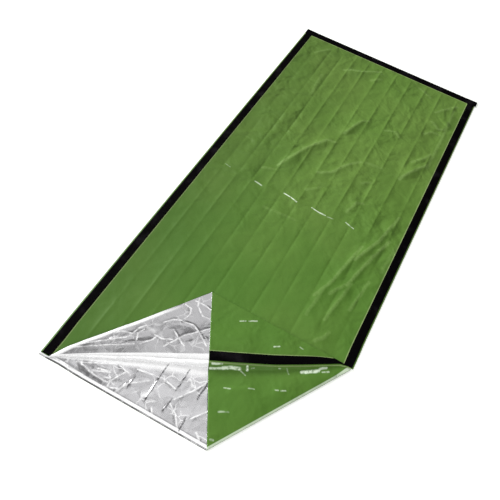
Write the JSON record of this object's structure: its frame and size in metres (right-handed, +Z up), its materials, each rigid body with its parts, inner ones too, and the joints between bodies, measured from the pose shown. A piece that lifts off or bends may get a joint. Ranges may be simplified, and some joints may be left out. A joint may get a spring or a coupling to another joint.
{
  "type": "emergency sleeping bag",
  "caption": "Flat tube-shaped emergency sleeping bag of metallised film with black taped side and foot seams, its mouth folded open at one corner to show the silver inside.",
  "frame": {"origin": "middle of the bag's bounding box, on the surface that it lies on", "axes": "+X across the bag, +Y from the mouth to the foot, +Z up"},
  "size_m": [0.915, 2.1301, 0.0487],
  "materials": {
    "bag_film": "thin crinkled film, satin green outside, bright metallised silver inside",
    "seam_tape": "black adhesive cloth tape with a fine weave and a dull sheen"
  },
  "bodies": {
    "root": {"bottom_panel": "bag_film", "top_panel": "bag_film", "tape_left": "seam_tape", "tape_right": "seam_tape", "tape_foot": "seam_tape"}
  },
  "joints": []
}
